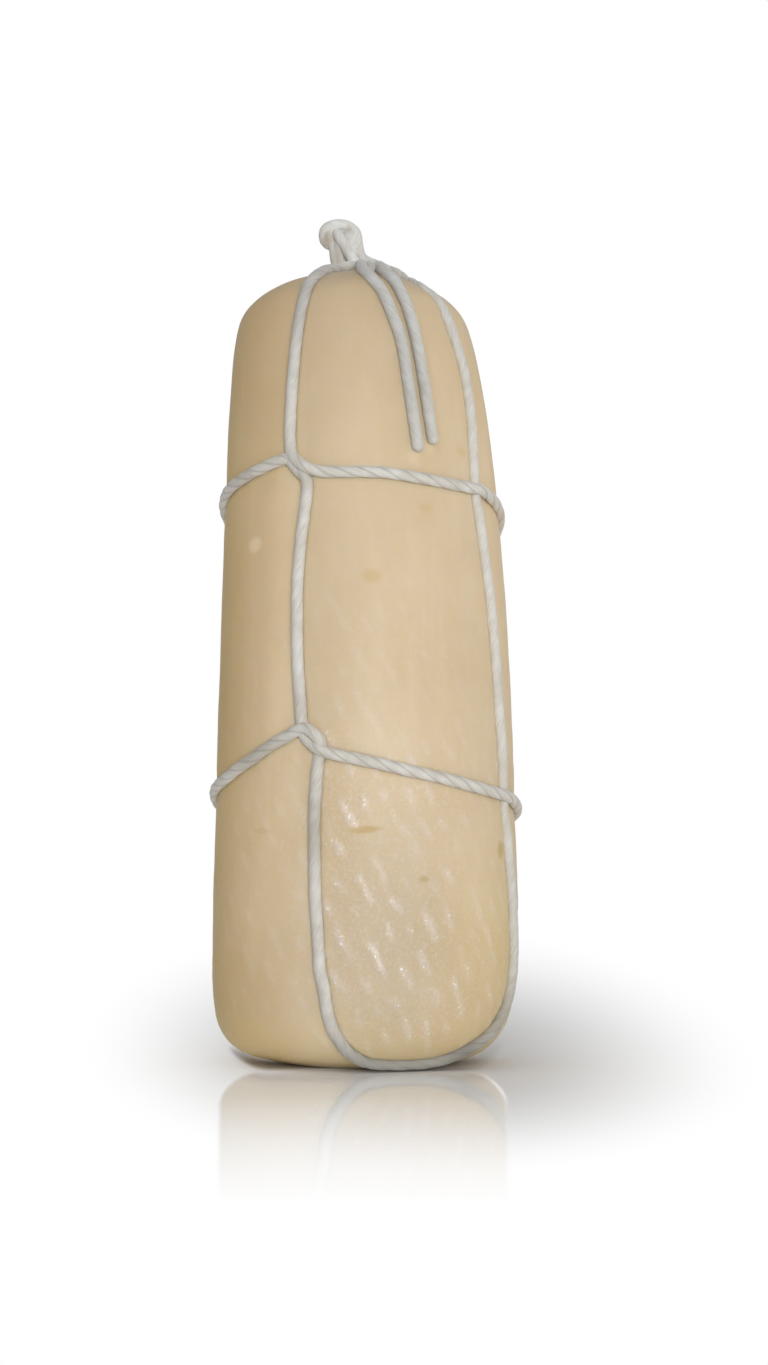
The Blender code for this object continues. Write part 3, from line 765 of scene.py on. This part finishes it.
def cheese_material():
    """Ivory-tan stretched curd: soft, a little moist, with faint yellow clouds, marks and painted
    light and shade.
    """
    material = bpy.data.materials.new("scamorza_skin")
    nodes = Nodes(material)
    place = nodes.add("TexCoord").outputs["Object"]
    height = nodes.add("SeparateXYZ", {0: place}).outputs["Z"]
    relief = nodes.add("SeparateXYZ", {0: nodes.add("Attribute", attribute_name="relief")
                                       .outputs["Vector"]}).outputs
    streaks = nodes.noise(place, *STREAKS)
    grains = nodes.noise(place, *GRAINS)
    base = nodes.layer(colour(CHEESE_COLOUR), nodes.noise(place, *CLOUDS), *CLOUD_LAYER)
    base = nodes.layer(base, streaks, *STREAK_LAYER)
    base = nodes.layer(base, nodes.noise(place, *SPECKS), *SPECK_LAYER)
    # Painted shade: the crown is darkened and browned towards its top.
    base = nodes.layer(base, height, *CROWN_SHADE_LAYER)
    # Painted light: the front left of the foot is paler low down.
    heel = nodes.math("MULTIPLY", nodes.span(nodes.facing(place, HEEL_LIGHT_AZIMUTH),
                                             *HEEL_LIGHT_SIDE),
                      nodes.span(height, *HEEL_LIGHT_HEIGHT))
    base = nodes.mix(heel, base, colour(HEEL_LIGHT_COLOUR))
    bead, zone = relief["X"], relief["Y"]
    # Painted sheen and painted glints: pale pearly colour on the beads and white sparks, beside the
    # coat's real gloss.
    fine = nodes.math("MULTIPLY", nodes.span(grains, *FINE_SHEEN), zone)
    base = nodes.mix(fine, base, colour(PEARL_SHEEN_COLOUR))
    pearl_sheen = nodes.math("MULTIPLY", bead, nodes.span(grains, *BEAD_SHEEN))
    glint = nodes.math("MULTIPLY", nodes.span(nodes.noise(place, *SPARKS), *SPARK_LEVEL),
                       nodes.span(bead, *SPARK_BEAD))
    base = nodes.mix(nodes.math("MULTIPLY", pearl_sheen, SHEEN_STRENGTH), base, colour(PEARL_SHEEN_COLOUR))
    base = nodes.mix(glint, base, colour(GLINT_COLOUR))
    for mark in MARKS:
        base = nodes.mix(mark_share(nodes, place, mark), base, colour(mark[5]))
    # Painted shade colour: the skin away from the front right is tinted yellower.
    far = nodes.span(nodes.facing(place, PALE_AZIMUTH), *FAR_SIDE)
    base = nodes.tint(far, base, FAR_SIDE_SHADE_TINT)
    # Soft patches: partly the skin's own tone, partly painted light and shade.
    for patch in SKIN_TONE_AND_SHADE_PATCHES:
        base = nodes.tint(patch_share(nodes, place, patch), base, patch[4])
    coat = nodes.math("MAXIMUM", glint, nodes.math("MULTIPLY", pearl_sheen, PEARL_COAT))
    rough = nodes.math("MULTIPLY", grains, nodes.span(zone, *GRAIN_DEPTH))
    nodes.settings(SKIN_SURFACE)
    nodes.settings({"Base Color": base, "Roughness": nodes.span(streaks, *SKIN_ROUGHNESS),
                    "Coat Weight": coat, "Normal": nodes.bump(rough, *SKIN_BUMP)})
    return material


def patch_share(nodes, place, patch):
    """How much of a large soft patch there is at a place."""
    azimuth, height, length, breadth, _ = patch
    middle = settle(skin_point(math.radians(azimuth), height * MM))
    reach = nodes.local(place, middle, (0.0, 0.0, math.radians(azimuth)),
                        (length, PATCH_THICKNESS, breadth))
    return nodes.span(reach, *PATCH_FADE)


def mark_share(nodes, place, mark):
    """How much of a mark there is at a place: a soft-edged ellipse on the skin."""
    azimuth, height, length, breadth, slant, _, strength = mark
    middle = settle(skin_point(math.radians(azimuth), height * MM))
    reach = nodes.local(place, middle, (0.0, math.radians(slant), math.radians(azimuth)),
                        (length, MARK_THICKNESS, breadth))
    return nodes.span(reach, *MARK_FADE, 0.0, strength)


def string_material():
    """Off-white cotton whose fibres run along the plies, with faint brown-grey stains and painted
    shade and light.
    """
    material = bpy.data.materials.new("cotton_string")
    nodes = Nodes(material)
    strand = nodes.add("Attribute", attribute_name="strand").outputs["Vector"]
    groove = nodes.add("Attribute", attribute_name="groove").outputs["Fac"]
    place = nodes.add("TexCoord").outputs["Object"]
    height = nodes.add("SeparateXYZ", {0: place}).outputs["Z"]
    fibres = nodes.noise(strand, *FIBRES)
    base = nodes.layer(colour(FIBRE_COLOUR), fibres, *COTTON_LAYER)
    base = nodes.layer(base, nodes.noise(strand, *BRIGHTS), *BRIGHT_LAYER)
    base = nodes.layer(base, nodes.noise(place, *STAINS), *STAIN_LAYER)
    # Painted shade in the creases between the plies, and a little on the ends and the knot's cores.
    base = nodes.layer(base, groove, *CREASE_SHADE_LAYER)
    # Painted shade: the string is darkened where it runs low, under the foot.
    base = nodes.layer(base, height, *LOW_STRING_SHADE_LAYER)
    # Painted light and shade in patches along the string: darker, browner or brighter.
    base = nodes.tint(1.0, base, nodes.add("Attribute", attribute_name="wear").outputs["Vector"])
    nodes.settings(STRING_SURFACE)
    nodes.settings({"Base Color": base, "Normal": nodes.bump(fibres, *STRING_BUMP)})
    return material


def floor_material():
    """A pale smooth table that fades into the white studio, mirrors the foot faintly and has a
    painted dark fringe of shadow round the foot's front.
    """
    material = bpy.data.materials.new("pale_floor")
    nodes = Nodes(material)
    place = nodes.add("SeparateXYZ", {0: nodes.add("TexCoord").outputs["Object"]}).outputs
    near = nodes.math("DIVIDE", VIEW_DEPTH, nodes.math("ADD", place["Y"], VIEW_DEPTH))
    beside = nodes.math("MULTIPLY", near, nodes.math("SUBTRACT", place["X"], CAMERA_PLACE[0]))
    beside = nodes.math("ABSOLUTE", nodes.math("SUBTRACT", beside, FOOT_MIDDLE))
    below = nodes.math("SUBTRACT", near, FOOT_CORNER_START)
    fringe = foot_shadow_fringe(nodes, near, corner(nodes, beside, below, FOOT_STRAIGHT, FOOT_CORNER))
    above = nodes.math("SUBTRACT", IMAGE_CORNER_START, near)
    image = corner(nodes, beside, above, IMAGE_STRAIGHT, IMAGE_CORNER)
    mirrored = nodes.math("MULTIPLY", nodes.span(image, *IMAGE_EDGE, kind="SMOOTHSTEP"),
                          nodes.span(place["Y"], *IMAGE_START))
    lighter = nodes.math("MULTIPLY", mirrored, nodes.span(place["Y"], *IMAGE_LIGHTENS))
    pool = nodes.math("MULTIPLY", shade_pool(nodes, place["X"], near),
                      nodes.math("SUBTRACT", 1.0, lighter))
    nodes.settings(FLOOR_SURFACE)
    # Painted shadow: the fringe darkens the table's colour round the front of the foot.
    nodes.settings({"Base Color": nodes.mix(fringe, POOL_GREY, SHADOW_FRINGE_GREY)})
    white = nodes.add("Emission").outputs["Emission"]
    clear = nodes.add("MixShader", {0: nodes.add("LightPath").outputs["Is Camera Ray"],
                                    1: nodes.add("BsdfTransparent").outputs["BSDF"],
                                    2: white}).outputs["Shader"]
    table = nodes.add("MixShader", {0: nodes.math("MAXIMUM", pool, fringe), 1: clear,
                                    2: nodes.shader.outputs["BSDF"]})
    mirror = nodes.add("BsdfGlossy", {"Color": (1.0, 1.0, 1.0, 1.0),
                                      "Roughness": MIRROR_ROUGHNESS})
    shine = nodes.math("MULTIPLY", nodes.span(place["Y"], *IMAGE_SHINES),
                       nodes.span(fringe, 1.0, 0.0))
    shine = nodes.math("MULTIPLY", shine, mirrored)
    polished = nodes.add("MixShader", {0: shine, 1: table.outputs["Shader"],
                                       2: mirror.outputs["BSDF"]})
    output = nodes.tree.nodes["Material Output"]
    nodes.put(output.inputs["Surface"], polished.outputs["Shader"])
    return material


def corner(nodes, beside, down, straight, size):
    """How far out a spot is in an outline with straight sides and round corners: 1 is its edge."""
    breadth, depth = size
    past = nodes.math("MAXIMUM", nodes.math("SUBTRACT", beside, straight))
    return nodes.length(nodes.math("DIVIDE", past, breadth),
                        nodes.math("DIVIDE", nodes.math("MAXIMUM", down), depth))


def foot_shadow_fringe(nodes, near, outline):
    """A narrow dark fringe of painted contact shadow round the front of the foot."""
    ring = nodes.math("MULTIPLY", nodes.span(outline, *FRINGE_OUTSIDE, kind="SMOOTHSTEP"),
                      nodes.span(outline, *FRINGE_INSIDE, kind="SMOOTHSTEP"))
    return nodes.math("MULTIPLY", ring, nodes.span(near, *FRINGE_NEARNESS, kind="SMOOTHSTEP"))


def shade_pool(nodes, sideways_place, near):
    """A soft pool of shade around and behind the foot."""
    aside = nodes.math("MULTIPLY", nodes.math("SUBTRACT", sideways_place, POOL_MIDDLE), near)
    deep = nodes.math("SUBTRACT", near, 1.0)
    deep = nodes.math("MAXIMUM", nodes.math("MULTIPLY", deep, -POOL_BEHIND),
                      nodes.math("MULTIPLY", deep, POOL_BEFORE))
    return nodes.span(nodes.length(aside, deep), POOL_CORE, POOL_EDGE, 1.0, 0.0,
                      kind="SMOOTHSTEP")


# Pieces

def make_tree(routes):
    """A search tree of the points of some routes."""
    route = np.concatenate(routes)
    tree = kdtree.KDTree(len(route))
    for number, spot in enumerate(route):
        tree.insert(spot, number)
    tree.balance()
    return tree


def make_cheese(routes, tails, material):
    """The cheese as a fine skin with the string's groove and its own relief."""
    outline = space_out(np.array([(point.x, 0.0, point.y) for point in FINE_OUTLINE]),
                        outline_length() / SKIN_ALONG)[:, (0, 2)]
    along = np.gradient(outline, axis=0)
    outwards = np.stack([-along[:, 1], along[:, 0]], axis=1)
    outwards /= np.linalg.norm(outwards, axis=1)[:, None]
    string_tree, tail_tree = make_tree(routes), make_tree(tails)
    points, reliefs = [], []
    for row in range(1, len(outline) - 1):
        for side in range(SKIN_AROUND):
            azimuth = 2 * math.pi * side / SKIN_AROUND
            spot = at_azimuth(azimuth, *outline[row])
            normal = at_azimuth(azimuth, *outwards[row])
            rise, marks = relief(azimuth, spot)
            rise += swell(settle(spot), normal, tail_tree)
            points.append(settle(spot + normal * (rise - press(settle(spot), normal,
                                                               string_tree))))
            reliefs.append(marks)
    points += [settle(Vector((0.0, 0.0, CROWN_HEIGHT))), settle(Vector((0.0, 0.0, 0.0)))]
    faces = tube_faces(len(outline) - 2, SKIN_AROUND)
    piece = make_piece("cheese_skin", points, [face[::-1] for face in faces], material)
    add_values(piece, "relief", np.array(reliefs + [(0.0, 0.0, 0.0)] * 2))
    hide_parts("cheese")


def outline_length():
    """How long the outline is."""
    return sum((lower - upper).length for upper, lower in zip(FINE_OUTLINE, FINE_OUTLINE[1:]))


def offset_from(spot, normal, tree):
    """How far a spot's nearest string is: straight, above the skin and across it."""
    nearest, _, distance = tree.find(spot)
    offset = nearest - spot
    height = offset.dot(normal)
    return distance, height, (offset - normal * height).length


def press(spot, normal, tree):
    """How far the string presses the skin in at a spot: a groove, and a soft dent around it."""
    distance, height, across = offset_from(spot, normal, tree)
    dent = DENT_DEPTH * math.exp(-(distance / DENT_REACH) ** 2) * ramp(spot.z, *DENT_START)
    if across >= GROOVE_HALF or height > STRING_RADIUS:
        return dent
    return max((STRING_RADIUS - height) * (1 - (across / GROOVE_HALF) ** 2) ** 2, dent)


def swell(spot, normal, tree):
    """How far the soft skin rises around a loose end that lies on it."""
    _, height, across = offset_from(spot, normal, tree)
    return SWELL_HEIGHT * math.exp(-(across / SWELL_REACH) ** 2) * ramp(height, *SWELL_CONTACT)


def relief(azimuth, spot):
    """How far the skin rises of itself at a spot, its bead's share and the beads' share there."""
    around = BELLY_RADIUS * azimuth
    across = around * math.sin(ROW_SLOPE) + spot.z * math.cos(ROW_SLOPE)
    row_gap = 2 * math.pi * BELLY_RADIUS * math.sin(ROW_SLOPE) / ROWS
    waver = ROW_WAVER * noise.noise(spot / ROW_WAVER_SIZE)
    wave = math.cos(2 * math.pi * (across / row_gap + waver))
    along = spot.z * math.sin(ROW_SLOPE) - around * math.cos(ROW_SLOPE)
    pattern = Vector((across / BEAD_BREADTH, along / BEAD_LENGTH, BEAD_PATTERN))
    broken = ramp(noise.noise(pattern), *BEAD_BREAKS)
    low = ramp(spot.z, *RELIEF_START)
    zone = bead_zone(math.degrees(azimuth), spot.z) * low
    bead = broken * ramp(wave, *BEAD_CREST) * zone
    lumps = sum(height * noise.noise(spot / size) for height, size in LUMPS)
    return RIDGE_HEIGHT * (bead - RIDGE_SINK * zone) + lumps * low, (bead, zone, 0.0)


def at_least(least, share):
    """A share from 0 to 1, moved to between a least value and 1."""
    return least + (1 - least) * share


def bead_zone(degrees, height):
    """How much of the beads shows at a place: most at the lower front right, none high up."""
    marked = at_least(BEADS_ELSEWHERE, max(ramp(degrees, *BEADS_TO), ramp(degrees, *BEADS_FROM)))
    start, end, lost = BEADS_RIGHT
    marked *= 1 - lost * ramp(degrees, *start) * ramp(degrees, *end)
    start, end, lost = BEADS_MIDDLE
    marked *= 1 - lost * ramp(height, *start) * ramp(degrees, *end)
    fewer = at_least(BEADS_ABOVE, ramp(height, *BEADS_FEWER))
    return marked * fewer * ramp(height, *BEADS_TOP)


def make_knot_core(name, place, size, material):
    """A tight lump of the knot, which its strands wrap."""
    points = []
    for ring in range(1, CORE_RINGS + 1):
        tilt = math.pi * ring / (CORE_RINGS + 1)
        for side in range(CORE_SIDES):
            turn = 2 * math.pi * side / CORE_SIDES
            out = Vector((math.sin(tilt) * math.cos(turn), math.sin(tilt) * math.sin(turn),
                          math.cos(tilt)))
            bulge = sum((depth * noise.noise(out * close) for depth, close in CORE_LUMPS), 1)
            points.append(Vector(place) + out * Vector(size) * bulge)
    points += [Vector(place) + Vector((0.0, 0.0, size[2])),
               Vector(place) - Vector((0.0, 0.0, size[2]))]
    faces = [face[::-1] for face in tube_faces(CORE_RINGS, CORE_SIDES)]
    piece = make_piece(name, points, faces, material)
    add_values(piece, "strand", np.array([(point.z + point.x, point.x, point.y)
                                          for point in points]))
    add_values(piece, "groove", np.full(len(points), PLAIN_GROOVE))
    add_values(piece, "wear", painted_string_shading(points))
    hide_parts("string")


def make_string(material):
    """The four loops and the knot."""
    routes = []
    for name, waypoints in (("upper", UPPER_LOOP), ("middle", MIDDLE_LOOP),
                            ("lower", LOWER_LOOP), ("far", FAR_LOOP)):
        points = trace(waypoints, RING_PITCH)
        routes.append(points)
        piece = make_rope("string_" + name, points, material, seed=len(routes))
        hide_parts("string")
    for number, waypoints in enumerate(KNOT_STRANDS):
        points = trace(waypoints, RING_PITCH)
        piece = make_rope(f"knot_strand_{number}", points, material, seed=KNOT_SEED + number,
                          twist=HALF_TWIST)
        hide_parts("string")
    for number, (place, size) in enumerate(CORES):
        make_knot_core(f"knot_core_{number}", place, size, material)
    return routes


def make_tails(material):
    """The two free ends."""
    routes = []
    for name, waypoints in (("tail_left", LEFT_TAIL), ("tail_right", RIGHT_TAIL)):
        points = trace(waypoints, RING_PITCH)
        routes.append(points)
        piece = make_rope("string_" + name, points, material, lay=-LAY_LENGTH,
                          seed=TAIL_SEED + len(name), twist=HALF_TWIST)
        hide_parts(name)
    return routes


# Stage

def make_floor():
    """A wide pale floor."""
    mesh = bpy.data.meshes.new("floor")
    mesh.from_pydata([(-FLOOR_REACH, FLOOR_FRONT, 0.0), (FLOOR_REACH, FLOOR_FRONT, 0.0),
                      (FLOOR_REACH, FLOOR_REACH, 0.0), (-FLOOR_REACH, FLOOR_REACH, 0.0)],
                     [], [(0, 1, 2, 3)])
    mesh.materials.append(floor_material())
    floor = bpy.data.objects.new("floor", mesh)
    bpy.context.scene.collection.objects.link(floor)


def make_light(name, place, size, power):
    """A soft square lamp that faces the cheese."""
    lamp = bpy.data.lights.new(name, "AREA")
    lamp.size = size
    lamp.energy = power
    light = bpy.data.objects.new(name, lamp)
    light.location = place
    towards = Vector(KEY_AIM) - Vector(place)
    light.rotation_euler = towards.to_track_quat("-Z", "Y").to_euler()
    bpy.context.scene.collection.objects.link(light)


def make_world():
    """A white studio, whose light comes most from below and from the front right."""
    world = bpy.data.worlds.new("studio")
    bpy.context.scene.world = world
    nodes = Nodes(world)
    direction = nodes.add("TexCoord").outputs["Generated"]
    light = WORLD_LIGHT
    for axis, strength in WORLD_SIDES:
        facing = nodes.add("VectorMath", {0: direction, 1: axis}, operation="DOT_PRODUCT")
        share = nodes.math("MAXIMUM", facing.outputs["Value"])
        light = nodes.math("ADD", light, nodes.math("MULTIPLY", share, strength))
    path = nodes.add("LightPath").outputs
    behind = nodes.add("VectorMath", {0: direction, 1: (0.0, 1.0, 0.0)}, operation="DOT_PRODUCT")
    mirrored = nodes.math("MULTIPLY", nodes.span(behind.outputs["Value"], *WHITE_CONE),
                          path["Is Glossy Ray"])
    white = nodes.math("MAXIMUM", path["Is Camera Ray"], mirrored)
    level = nodes.span(white, 0.0, 1.0, light, 1.0)
    nodes.put(nodes.tree.nodes["Background"].inputs["Color"], level)


def make_camera():
    """The camera at the photograph's place."""
    lens = bpy.data.cameras.new("camera")
    lens.sensor_width = SENSOR
    lens.lens = LENS
    camera = bpy.data.objects.new("camera", lens)
    camera.location = CAMERA_PLACE
    camera.rotation_euler = (math.radians(90) + CAMERA_PITCH, 0.0, 0.0)
    bpy.context.scene.collection.objects.link(camera)
    bpy.context.scene.camera = camera


def main():
    """Make the camera, the string, the cheese and the stage."""
    bpy.context.scene.view_settings.view_transform = "Standard"
    make_camera()
    cotton = string_material()
    tails = make_tails(cotton)
    routes = make_string(cotton)
    make_cheese(routes, tails, cheese_material())
    make_floor()
    make_world()
    make_light("key", KEY_PLACE, KEY_SIZE, KEY_POWER)


main()
